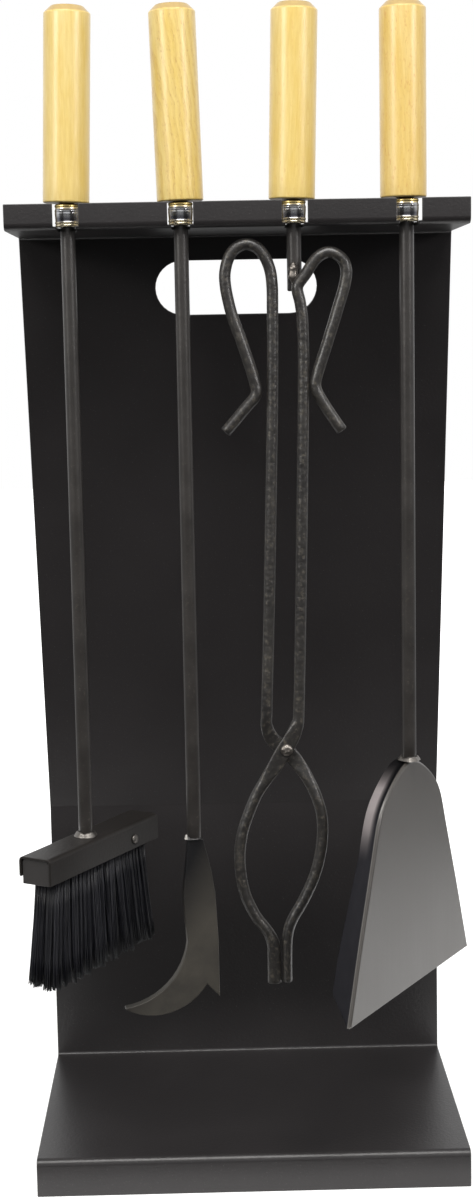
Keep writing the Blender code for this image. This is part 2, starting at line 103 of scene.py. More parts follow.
# ---- wiring of nodes


def math_operator(operation, swapped=False):
    """An operator of Wire, which adds one Math node."""

    def apply(wire, other):
        pair = [other, wire] if swapped else [wire, other]
        return wire.net.add("ShaderNodeMath", {"operation": operation}, pair)

    return apply


class Wire:
    """A socket that sums can be written on."""

    def __init__(self, net, socket):
        self.net = net
        self.socket = socket

    __add__ = math_operator("ADD")
    __radd__ = math_operator("ADD", True)
    __sub__ = math_operator("SUBTRACT")
    __rsub__ = math_operator("SUBTRACT", True)
    __mul__ = math_operator("MULTIPLY")
    __rmul__ = math_operator("MULTIPLY", True)
    __truediv__ = math_operator("DIVIDE")


class Net:
    """A node tree that is being wired."""

    def __init__(self, tree):
        self.tree = tree

    def add(self, kind, settings=None, values=None, output=0):
        """A node of this kind: its settings first, then its sockets' values or links."""
        node = self.tree.nodes.new(kind)
        for key, value in (settings or {}).items():
            setattr(node, key, value)
        pairs = values.items() if isinstance(values, dict) else enumerate(values or [])
        for key, value in pairs:
            if isinstance(value, Wire):
                self.tree.links.new(value.socket, node.inputs[key])
            else:
                node.inputs[key].default_value = value
        return Wire(self, node.outputs[output])

    def parts(self, vector):
        """The x, y and z of a vector, as three wires."""
        node = self.add("ShaderNodeSeparateXYZ", {}, [vector]).socket.node
        return [Wire(self, output) for output in node.outputs]


class Finish(Net):
    """One material: a Principled shader, and the patterns that feed it."""

    def __init__(self, name, **fixed):
        self.material = bpy.data.materials.new(name)
        self.material.use_nodes = True
        super().__init__(self.material.node_tree)
        self.shader = self.tree.nodes["Principled BSDF"]
        for key, value in fixed.items():
            self.shader.inputs[key.replace("_", " ")].default_value = value
        self.place = self.add("ShaderNodeTexCoord", output="Object")

    def feed(self, **wires):
        for key, wire in wires.items():
            self.tree.links.new(wire.socket, self.shader.inputs[key.replace("_", " ")])
        return self.material

    def mapped(self, location=(0, 0, 0), rotation=(0, 0, 0), scale=(1, 1, 1)):
        """The place seen from a frame of its own."""
        values = {"Vector": self.place, "Location": location, "Rotation": rotation, "Scale": scale}
        return self.add("ShaderNodeMapping", {"vector_type": "TEXTURE"}, values)

    def drawn(self, vector, along):
        """A place pressed together along Z, so that its marks come out drawn up and down."""
        return self.add("ShaderNodeMapping", {}, {"Vector": vector, "Scale": (1, 1, along)})

    def grain(self, scale, detail=2.0, rough=0.5, vector=None):
        """Cloudy noise from 0 to 1; scale counts its grains in a metre."""
        values = {"Vector": vector or self.place, "Scale": scale}
        values |= {"Detail": detail, "Roughness": rough}
        return self.add("ShaderNodeTexNoise", {}, values)

    def cells(self, scale):
        """Round cells with soft borders."""
        values = {"Vector": self.place, "Scale": scale}
        return self.add("ShaderNodeTexVoronoi", {"feature": "SMOOTH_F1"}, values)

    def spread(self, value, low, high, out_low=0.0, out_high=1.0):
        """Takes low..high to out_low..out_high, and holds it there."""
        values = [value, low, high, out_low, out_high]
        return self.add("ShaderNodeMapRange", {"clamp": True}, values)

    def blend(self, factor, first, second):
        """Mixes two colours, each one a wire or three numbers."""
        node = self.tree.nodes.new("ShaderNodeMix")
        node.data_type = "RGBA"
        node.clamp_factor = True
        sockets = (node.inputs[0], node.inputs[6], node.inputs[7])
        for socket, value in zip(sockets, (factor, first, second)):
            if isinstance(value, Wire):
                self.tree.links.new(value.socket, socket)
            else:
                socket.default_value = (*value, 1.0) if isinstance(value, tuple) else value
        return Wire(self, node.outputs[2])

    def bump(self, height, distance, under=None):
        values = {"Strength": 1.0, "Distance": distance, "Height": height}
        if under is not None:
            values["Normal"] = under
        return self.add("ShaderNodeBump", {}, values)


# ---- finishes


def shaded(tone, level):
    """A colour made lighter or darker."""
    return tuple(level * part for part in tone)


def powder_coat(name, tone, roughness, peel=1.0, gloss=0.5, painted_low_shade=0.0):
    """Black baked powder: a fine orange peel, faint clouds, some dust, and painted shade low down."""
    coat = Finish(name, Specular_IOR_Level=gloss)
    clouds = coat.grain(9.0, 3.0, 0.6)
    fine = coat.grain(2600.0, 2.0, 0.6)
    skin = coat.grain(620.0, 2.0, 0.45)
    dust = coat.spread(coat.grain(1500.0, 1.0, 0.5), 0.71, 0.78)
    colour = coat.blend(coat.spread(clouds, 0.3, 0.7), shaded(tone, 0.82), shaded(tone, 1.25))
    colour = coat.blend(coat.spread(fine, 0.35, 0.75) * 0.35, colour, shaded(tone, 1.9))
    # Painted shade: the coat is darkened from 25 to 190 mm up, most from 60 to 100 mm, standing in for
    # the shade low on the panel.
    height = coat.parts(coat.place)[2]
    band = coat.spread(height, 0.19, 0.10) * coat.spread(height, 0.025, 0.06)
    colour = coat.blend(band * painted_low_shade, colour, shaded(tone, 0.4))
    colour = coat.blend(dust * 0.16, colour, (0.3, 0.29, 0.28))
    rough = roughness + (clouds - 0.5) * 0.10 + (fine - 0.5) * 0.08 + dust * 0.15
    normal = coat.bump(skin, 0.00009 * peel)
    normal = coat.bump(fine, 0.00003 * peel, under=normal)
    return coat.feed(Base_Color=colour, Roughness=rough, Normal=normal)


def rod_coat(name, tone, roughness, axis_x):
    """Satin black on drawn rod: faint drawing lines along it and small rubbed flecks."""
    coat = Finish(name, Specular_IOR_Level=0.55)
    place = coat.mapped(location=(axis_x * MM, TOOL_Y * MM, 0.0))
    lines = coat.grain(900.0, 3.0, 0.6, coat.drawn(place, 0.03))
    clouds = coat.grain(45.0, 4.0, 0.65, place)
    flecks = coat.spread(coat.grain(700.0, 2.0, 0.6, place), 0.62, 0.74)
    colour = coat.blend(coat.spread(clouds, 0.3, 0.7), shaded(tone, 0.7), shaded(tone, 1.3))
    colour = coat.blend(flecks * 0.25, colour, (0.16, 0.145, 0.12))
    rough = roughness + (clouds - 0.5) * 0.22 + (lines - 0.5) * 0.10 - flecks * 0.06
    normal = coat.bump(lines, 0.00002)
    normal = coat.bump(coat.grain(420.0, 2.0, 0.5, place), 0.00008, under=normal)
    return coat.feed(Base_Color=colour, Roughness=rough, Normal=normal)


def turned_wood(name, tool, axis_x, ring_mm, contrast, lean, pores, fleck, warm):
    """Golden varnished dowel: soft growth layers, fibres along it, pores and small ray flecks."""
    wood = Finish(name, Coat_Weight=0.70, Coat_Roughness=0.30, Specular_IOR_Level=0.30)
    tilt = math.radians(HANDLE_TILTS[tool])
    own = wood.mapped(
        location=((axis_x + HANDLE_SHIFTS[tool]) * MM, TOOL_Y * MM, HANDLE_Z * MM),
        rotation=(0.0, tilt, 0.0),
    )
    turns = (lean * 0.6, lean, 0.3)
    slanted = wood.add("ShaderNodeMapping", {}, {"Vector": own, "Rotation": turns})
    wander = wood.grain(30.0, 3.0, 0.55, slanted)
    along = wood.drawn(slanted, 0.05)
    side, deep, _ = wood.parts(along)
    layer = (side * 0.86 + deep * 0.5) * (1000.0 / ring_mm) + wander * 3.4
    layer = wood.add("ShaderNodeMath", {"operation": "FRACT"}, [layer])
    late = wood.spread(layer, 0.25, 0.80) * wood.spread(layer, 1.0, 0.90)
    fibre = wood.grain(1300.0, 4.0, 0.75, along)
    broad = wood.grain(120.0, 3.0, 0.6, wood.drawn(slanted, 0.18))
    tones = ((0.69, 0.54, 0.215), (0.62, 0.43, 0.085), (0.47, 0.28, 0.06))
    pale, gold, brown = (tuple(a * b for a, b in zip(tone, warm)) for tone in tones)
    colour = wood.blend(wood.spread(broad, 0.32, 0.70) * 0.75, pale, gold)
    colour = wood.blend(late * contrast * 0.75, colour, brown)
    colour = wood.blend(wood.spread(fibre, 0.48, 0.74) * 0.22, colour, brown)
    colour = wood.blend(wood.spread(fibre, 0.5, 0.28) * 0.25, colour, (0.82, 0.68, 0.36))
    dash = wood.drawn(slanted, 0.30)
    ray = wood.spread(wood.grain(820.0, 2.0, 0.6, dash), 0.60, 0.70)
    colour = wood.blend(ray * fleck, colour, (0.55, 0.29, 0.08))
    pore = wood.spread(wood.grain(1500.0, 1.0, 0.5, dash), 0.58, 0.66) * wood.spread(late, 0.1, 0.6)
    colour = wood.blend(pore * pores, colour, (0.42, 0.23, 0.07))
    shoulder = HANDLE_LENGTH - HANDLE_CHAMFER
    end_grain = wood.spread(wood.parts(own)[2], shoulder * MM, (shoulder + 0.8) * MM)
    colour = wood.blend(end_grain * 0.85, colour, (0.36, 0.25, 0.10))
    rough = 0.40 + (fibre - 0.5) * 0.16 + ray * 0.06
    normal = wood.bump(fibre, 0.00005)
    normal = wood.bump(1.0 - pore * pores, 0.00010, under=normal)
    return wood.feed(Base_Color=colour, Roughness=rough, Normal=normal)


def chrome(tool):
    """Old bright plating with painted light: painted shade on its lower waist and flanks, a pale gold
    painted highlight on the foot ring and a yellow painted reflection of the wood on the rolled crown.
    """
    plate = Finish(tool + "_chrome", Metallic=1.0, Specular_Tint=(0.3, 0.28, 0.25, 1.0))
    marks = plate.grain(500.0, 2.0, 0.6, plate.mapped(scale=(14.0, 14.0, 0.35)))
    smear = plate.grain(130.0, 3.0, 0.6)
    right, _, height = plate.parts(plate.place)
    off_axis = right - tool_axis(tool) * MM
    # Painted shade: both flanks, more than 4.5 mm from the rod's axis, are darkened brown-black.
    flank_shade = plate.spread(off_axis * off_axis, 0.0045**2, 0.0059**2)
    low = SHELF_TOP_Z * MM
    # Painted highlight: the foot ring is tinted pale gold. Painted reflection: the crown under the handle
    # is tinted yellow, like the wood above it.
    foot = plate.spread(height, low + 0.0032, low + 0.0024)
    crown = plate.spread(height, low + 0.0098, low + 0.0106)
    colour = plate.blend(plate.spread(smear, 0.35, 0.7), (0.66, 0.67, 0.70), (0.50, 0.50, 0.50))
    # Painted shade: the lower waist is darkened to blue-grey.
    shade = plate.spread(height, low + 0.0064, low + 0.0048)
    colour = plate.blend(shade * 0.8, colour, (0.12, 0.12, 0.15))
    colour = plate.blend(foot, colour, (0.90, 0.80, 0.58))
    colour = plate.blend(crown, colour, (0.92, 0.72, 0.30))
    colour = plate.blend(flank_shade * 0.9, colour, (0.11, 0.09, 0.06))
    rough = 0.22 + plate.spread(smear, 0.4, 0.75) * 0.12 + (marks - 0.5) * 0.04 + crown * 0.12
    return plate.feed(Base_Color=colour, Roughness=rough, Normal=plate.bump(marks, 0.00001))


def hammered():
    """Dark stove paint over forged bar: overlapping dimples with rubbed high spots."""
    paint = Finish("hammered_paint", Specular_IOR_Level=0.6)
    dents = paint.cells(330.0)
    dimples = paint.cells(900.0)
    mottle = paint.grain(420.0, 4.0, 0.7)
    clouds = paint.grain(28.0, 3.0, 0.6)
    high = paint.spread(mottle, 0.52, 0.72)
    colour = paint.blend(paint.spread(clouds, 0.3, 0.7), (0.014, 0.013, 0.013), (0.026, 0.024, 0.022))
    colour = paint.blend(high * 0.6, colour, (0.14, 0.125, 0.10))
    rough = 0.36 + (mottle - 0.5) * 0.30 + (clouds - 0.5) * 0.1
    metal = high * 0.35
    normal = paint.bump(dents, 0.00022)
    normal = paint.bump(dimples, 0.00008, under=normal)
    return paint.feed(Base_Color=colour, Roughness=rough, Metallic=metal, Normal=normal)


def bare_steel(name, tone, roughness, metallic, blotch=1.0, lump=0.00015):
    """Weld and rivet metal: heat clouds, fine scratches and small pits."""
    steel = Finish(name)
    clouds = steel.grain(60.0, 4.0, 0.65)
    fine = steel.grain(1700.0, 3.0, 0.65)
    pits = steel.spread(steel.grain(800.0, 2.0, 0.5), 0.66, 0.76)
    patches = steel.spread(clouds, 0.5 - 0.2 * blotch, 0.5 + 0.2 * blotch)
    colour = steel.blend(patches, shaded(tone, 0.72), shaded(tone, 1.2))
    colour = steel.blend(pits * 0.5, colour, shaded(tone, 0.35))
    rough = roughness + (clouds - 0.5) * 0.18 + (fine - 0.5) * 0.14
    metal = metallic - pits * 0.3 * metallic
    normal = steel.bump(clouds, lump)
    normal = steel.bump(fine, 0.00003, under=normal)
    return steel.feed(Base_Color=colour, Roughness=rough, Metallic=metal, Normal=normal)


def weld_spot():
    """A neck painted over, with one drop of bare weld on its left whose pale colour is partly a painted
    highlight.
    """
    spot = Finish("weld_spot")
    axis = tool_axis("poker") * MM
    right = spot.parts(spot.place)[0] + (spot.grain(900.0, 2.0) - 0.5) * 0.001
    # Painted highlight: left of the rod the bare weld is made pale metal, so that it shows as a bright
    # glint.
    bare_glint = spot.spread(right, axis - 0.0036, axis - 0.0042)
    colour = spot.blend(bare_glint, (0.016, 0.015, 0.015), (0.72, 0.69, 0.64))
    rough = 0.40 - bare_glint * 0.12
    normal = spot.bump(spot.grain(700.0, 3.0, 0.6), 0.00012)
    return spot.feed(Base_Color=colour, Roughness=rough, Metallic=bare_glint * 0.9, Normal=normal)


def blade_coat():
    """The poker's forged plate: near black at its neck, grading to warm grey towards the claw."""
    plate = Finish("blade_steel", Specular_IOR_Level=0.3)
    clouds = plate.grain(45.0, 4.0, 0.65)
    fine = plate.grain(1700.0, 3.0, 0.65)
    right, _, up = plate.parts(plate.place)
    across = right - tool_axis("poker") * MM
    height = up + across * -1.6 + (clouds - 0.5) * 0.022
    # rubbed marks the paler lower part of the plate, with its border higher on the right; above it the
    # plate is near black.
    rubbed = plate.spread(height, 0.196, 0.148)
    tone = plate.blend(plate.spread(clouds, 0.3, 0.7), (0.046, 0.043, 0.038), (0.070, 0.064, 0.054))
    colour = plate.blend(rubbed, (0.006, 0.006, 0.007), tone)
    colour = plate.blend(plate.spread(fine, 0.6, 0.75) * 0.3, colour, (0.11, 0.10, 0.09))
    rough = 0.46 + (clouds - 0.5) * 0.16 + (fine - 0.5) * 0.12
    normal = plate.bump(clouds, 0.00008)
    normal = plate.bump(fine, 0.00003, under=normal)
    return plate.feed(Base_Color=colour, Roughness=rough, Metallic=rubbed * 0.2, Normal=normal)


def pan_coat():
    """Dark satin coat on the pressed pan: rolling streaks and rubs, with painted shade darkening its rim
    and a painted highlight on the rim near its top.
    """
    coat = Finish("pan_coat", Specular_IOR_Level=0.75)
    facing = coat.mapped(rotation=(0.0, 0.0, math.radians(SHOVEL_TURN)))
    streaks = coat.grain(260.0, 3.0, 0.6, coat.drawn(facing, 0.05))
    clouds = coat.grain(16.0, 4.0, 0.6)
    fine = coat.grain(2300.0, 2.0, 0.6)
    rub = coat.spread(coat.grain(520.0, 3.0, 0.7), 0.63, 0.75)
    colour = coat.blend(coat.spread(clouds, 0.3, 0.7), (0.037, 0.033, 0.029), (0.049, 0.044, 0.039))
    colour = coat.blend((streaks - 0.35) * 0.30, colour, (0.09, 0.086, 0.078))
    colour = coat.blend(rub * 0.22, colour, (0.02, 0.019, 0.018))
    sine, cosine = math.sin(math.radians(SHOVEL_TURN)), math.cos(math.radians(SHOVEL_TURN))
    right, back, height = coat.parts(coat.place)
    depth = (back - TOOL_Y * MM) * cosine - (right - tool_axis("shovel") * MM) * sine
    # Painted shade: the rim behind the face is made near black. Painted highlight: worn marks a pale
    # pinkish grey patch on the rim, from 200 to 250 mm up.
    rim = coat.spread(depth, 0.00005, 0.0005)
    worn = coat.spread(height, 0.200, 0.236) * coat.spread(height, 0.250, 0.238)
    worn = worn * coat.spread(depth, 0.001, 0.004)
    side = coat.blend(worn * worn, (0.009, 0.009, 0.011), (0.42, 0.38, 0.38))
    colour = coat.blend(rim, colour, side)
    rough = 0.36 + (clouds - 0.5) * 0.12 + (streaks - 0.5) * 0.10 + rim * 0.12
    normal = coat.bump(streaks, 0.00003)
    normal = coat.bump(fine, 0.00003, under=normal)
    return coat.feed(Base_Color=colour, Roughness=rough, Metallic=rim * 0.95, Normal=normal)


def bristle_fibre():
    """Black synthetic fibre, a little different in every strand and paler at its cut tip."""
    fibre = Finish("bristle_fibre")
    strand = fibre.add("ShaderNodeAttribute", {"attribute_name": "strand"}, output="Fac")
    along = fibre.add("ShaderNodeAttribute", {"attribute_name": "along"}, output="Fac")
    colour = fibre.blend(strand, (0.003, 0.003, 0.0045), (0.012, 0.0125, 0.018))
    tip = fibre.spread(along, 0.9, 1.0) * fibre.spread(strand, 0.45, 1.0)
    colour = fibre.blend(tip * 0.6, colour, (0.12, 0.13, 0.13))
    rough = 0.34 + strand * 0.2
    normal = fibre.bump(fibre.grain(3000.0, 1.0, 0.5), 0.00002)
    return fibre.feed(Base_Color=colour, Roughness=rough, Normal=normal)


def moulded_plastic():
    """The brush's dark block: cloudy, with a fine moulded skin."""
    block = Finish("block_plastic", Specular_IOR_Level=0.45)
    clouds = block.grain(40.0, 3.0, 0.6)
    fine = block.grain(1400.0, 2.0, 0.5)
    colour = block.blend(clouds, (0.018, 0.017, 0.017), (0.034, 0.031, 0.030))
    rough = 0.5 + (fine - 0.5) * 0.2
    return block.feed(Base_Color=colour, Roughness=rough, Normal=block.bump(fine, 0.00006))


# ---- mesh helpers


def settle(obj):
    """Turns an object with modifiers into a plain mesh, without them."""
    graph = bpy.context.evaluated_depsgraph_get()
    found = obj.evaluated_get(graph)
    mesh = bpy.data.meshes.new_from_object(found, preserve_all_data_layers=True, depsgraph=graph)
    mesh.name = obj.name
    obj.modifiers.clear()
    obj.data = mesh
    return obj


def weigh_normals(obj):
    """Keeps broad flat faces flat where small rounded edges meet them."""
    modifier = obj.modifiers.new("weighted", "WEIGHTED_NORMAL")
    modifier.keep_sharp = True
    modifier.weight = 60
    return settle(obj)


def made(name, bm, material):
    """A bmesh as an object in the scene, with one material."""
    mesh = bpy.data.meshes.new(name)
    bm.to_mesh(mesh)
    bm.free()
    mesh.materials.append(material)
    obj = bpy.data.objects.new(name, mesh)
    bpy.context.scene.collection.objects.link(obj)
    return obj


def piece(name, bm, material, body, slot, nodes, place=None, scale=MM, sharp=40.0, weigh=False):
    """Finishes a bmesh as a piece that rides on a body in place of fixed nodes."""
    bmesh.ops.transform(bm, matrix=place or Matrix.Identity(4), verts=bm.verts)
    bmesh.ops.scale(bm, vec=(scale,) * 3, verts=bm.verts)
    bmesh.ops.recalc_face_normals(bm, faces=bm.faces)
    obj = made(name, bm, material)
    obj.data.shade_smooth()
    obj.data.set_sharp_from_angle(angle=math.radians(sharp))
    if weigh:
        weigh_normals(obj)
    return enlist(obj, body, nodes)


def enlist(obj, body, nodes):
    """Makes an object a piece: its body and the fixed nodes that it stands for."""
    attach(obj, body)
    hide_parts(*nodes)
    return obj


def ring_points(radius, z, segments):
    """A level circle of points round Z."""
    turns = [2 * math.pi * i / segments for i in range(segments)]
    return [(radius * math.cos(turn), radius * math.sin(turn), z) for turn in turns]


def skin(rings, closed=False, caps=True):
    """A skin over rings of points that all have the same count."""
    bm = bmesh.new()
    rows = [[bm.verts.new(point) for point in ring] for ring in rings]
    count = len(rows[0])
    following = rows[1:] + rows[:1] if closed else rows[1:]
    for low, high in zip(rows, following):
        for i in range(count):
            j = (i + 1) % count
            bm.faces.new((low[i], low[j], high[j], high[i]))
    if caps and not closed:
        bm.faces.new(rows[0])
        bm.faces.new(rows[-1])
    return bm


def eased(corners, steps=4, closed=False):
    """A profile whose corners (r, z, radius) are rounded with small arcs."""
    found = []
    count = len(corners)
    for i, (r, z, radius) in enumerate(corners):
        here = Vector((r, z))
        ends = not closed and i in (0, count - 1)
        if radius <= 0 or ends:
            found.append((r, z))
            continue
        before = (here - Vector(corners[i - 1][:2])).normalized()
        after = (Vector(corners[(i + 1) % count][:2]) - here).normalized()
        turn = before.angle_signed(after)
        reach = radius * math.tan(abs(turn) / 2)
        start = here - before * reach
        side = Vector((-before.y, before.x)) * (-1 if turn > 0 else 1)
        centre = start + side * radius
        for step in range(steps + 1):
            spin = Matrix.Rotation(-turn * step / steps, 2)
            found.append(tuple(centre + spin @ (start - centre)))
    return found


def turned(profile, segments, closed=False):
    """A profile of (radius, z) turned round Z."""
    return skin([ring_points(r, z, segments) for r, z in profile], closed)


def tool_axis(tool):
    """The x of a tool's rod, from the solid model, in millimetres."""
    low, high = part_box(tool + "_ferrule")
    return (low.x + high.x) / 2 / MM


def tool_place(tool, turn=0.0):
    """Where a tool hangs, turned about its rod by degrees."""
    shift = Matrix.Translation((tool_axis(tool), TOOL_Y, 0.0))
    return shift @ Matrix.Rotation(math.radians(turn), 4, "Z")


def cleaned(node):
    """A copy of a fixed node's mesh, its loose triangles joined into whole faces."""
    bm = bmesh.new()
    bm.from_mesh(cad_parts[node].data)
    bmesh.ops.remove_doubles(bm, verts=bm.verts, dist=2e-6)
    bmesh.ops.dissolve_limit(bm, angle_limit=math.radians(0.5), verts=bm.verts, edges=bm.edges)
    return bm


def rounded_copy(name, node, width, material, body, slot):
    """The solid's own shape with every sharp edge rounded."""
    bm = cleaned(node)
    limit = math.radians(30.0)
    edges = [e for e in bm.edges if len(e.link_faces) == 2 and e.calc_face_angle(0.0) > limit]
    bmesh.ops.bevel(bm, geom=edges, offset=width * MM, segments=3, profile=0.5, affect="EDGES")
    return piece(name, bm, material, body, slot, [node], scale=1.0, sharp=50.0, weigh=True)


# ---- grips


def make_handle(tool, material):
    """A turned dowel with an eased top, and a shallow socket for its rod below."""
    top, radius = HANDLE_LENGTH, HANDLE_RADIUS
    shoulder = top - HANDLE_CHAMFER
    corners = [(SOCKET_RADIUS, 3.0, 0), (SOCKET_RADIUS, 0.0, 0.3), (radius, 0.0, 0.9)]
    corners += [(radius, shoulder, 0.9), (radius - HANDLE_CHAMFER, top, 0.9), (2.0, top, 0)]
    profile = eased(corners, 5)
    long_wall = [(radius, 1.2 + (shoulder - 2.4) * i / 12) for i in range(13)]
    split = next(i for i, (r, z) in enumerate(profile) if z > 50)
    profile = profile[:split] + long_wall[1:-1] + profile[split:]
    shift = Matrix.Translation((HANDLE_SHIFTS[tool], 0, HANDLE_Z))
    lean = Matrix.Rotation(math.radians(HANDLE_TILTS[tool]), 4, "Y")
    bm = turned(profile, 96)
    piece(tool + "_grip", bm, material, tool, "wood", [tool + "_handle"], tool_place(tool) @ shift @ lean)


def make_ferrule(tool, material):
    """A plated collar: foot ring, plain waist and a rolled band under the handle."""
    low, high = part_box(tool + "_ferrule")
    z, top = low.z / MM, high.z / MM
    radius = (high.x - low.x) / 2 / MM + FERRULE_SPARE
    inner, waist, foot = FERRULE_BORE, radius - 0.05, radius - 0.25
    corners = [
        (inner, z, 0.15),
        (foot - 0.2, z, 0.2),
        (foot, z + 0.5, 0.3),
        (foot, z + 1.1, 0.3),
        (foot - 0.35, z + 1.4, 0.2),
        (foot + 0.15, z + 1.8, 0.3),
        (foot + 0.15, z + 2.5, 0.4),
        (waist - 0.3, z + 3.0, 0.5),
        (waist, z + 7.0, 1.4),
        (radius - 0.1, z + 7.8, 0.5),
        (radius, z + 8.7, 0.6),
        (radius - 0.35, z + 9.6, 0.4),
        (radius - 0.45, z + 10.4, 0.3),
        (radius - 0.1, z + 10.9, 0.3),
        (radius - 0.2, top - 0.4, 0.3),
        (radius - 0.6, top, 0.3),
        (inner, top, 0.15),
    ]
    bm = turned(eased(corners, 4, closed=True), 72, closed=True)
    body, nodes = tool + "_collar", [tool + "_ferrule"]
    piece(tool + "_ring", bm, material, body, "chrome", nodes, tool_place(tool), sharp=60.0)


def make_rod(tool, bottom, material):
    """A drawn rod with eased ends; the top one sits in the handle's socket."""
    top = HANDLE_Z + 2.6
    count = 40
    profile = [(0.6, bottom), (ROD_RADIUS - 0.7, bottom), (ROD_RADIUS - 0.2, bottom + 0.2)]
    profile += [(ROD_RADIUS, bottom + 0.7 + (top - bottom - 1.4) * i / count) for i in range(count + 1)]
    profile += [(ROD_RADIUS - 0.2, top - 0.2), (ROD_RADIUS - 0.7, top), (0.6, top)]
    bm = turned(profile, 40)
    piece(tool + "_shaft", bm, material, tool, "rod_coat", [tool + "_rod"], tool_place(tool))


# ---- welds and rivets


def weld_lumps(angle, ripples, seed):
    """How far a weld bulges at an angle round its rod, from 0 to 1."""
    wave = 0.5 + 0.5 * math.cos(ripples * angle + seed)
    rough = noise.noise(Vector((math.cos(angle) * 1.7, math.sin(angle) * 1.7, seed)))
    return 0.62 + 0.26 * wave + 0.24 * rough


def make_weld(tool, material, slot, z, reach, height, ripples, seed, lobe=None):
    """A fillet of weld metal round a rod's foot, in drops; a lobe (degrees) piles it on one side."""
    segments, steps = 72, 9
    rows = []
    for step in range(steps + 1):
        t = step / steps
        row = []
        for i in range(segments):
            angle = 2 * math.pi * i / segments
            swell = weld_lumps(angle, ripples, seed)
            if lobe is not None:
                swell *= 0.12 + 1.1 * max(0.0, math.cos(angle - math.radians(lobe))) ** 4
            out = reach * swell * (1 - t) ** 0.75 + 0.15
            lift = height * swell * math.sin(t * math.pi / 2) ** 1.3
            radius = ROD_RADIUS + 0.05 + out
            row.append((radius * math.cos(angle), radius * math.sin(angle), z + lift))
        rows.append(row)
    inside = [ring_points(ROD_RADIUS + 0.05, z + h * height, segments) for h in (0.3, 0.0)]
    bm = skin(rows + inside, closed=True)
    piece(tool + "_bead", bm, material, tool, slot, [tool + "_weld"], tool_place(tool), sharp=80.0)


def domed_rivet(head, height, shank, length, dent, seed, segments=32):
    """A rivet on +Z with a hand-set, slightly uneven dome."""
    rings = [ring_points(0.4, -length, segments), ring_points(shank, -length, segments)]
    rings += [ring_points(shank, -0.05, segments), ring_points(head, 0.0, segments)]
    for step in range(1, 8):
        t = step / 8 * math.pi / 2
        ring = []
        for x, y, z in ring_points(head * math.cos(t), height * math.sin(t) + 0.15, segments):
            push = dent * noise.noise(Vector((x, y, z + seed)) * 0.9)
            ring.append((x * (1 + push * 0.1), y * (1 + push * 0.1), z + push))
        rings.append(ring)
    return skin(rings)


# ---- brush


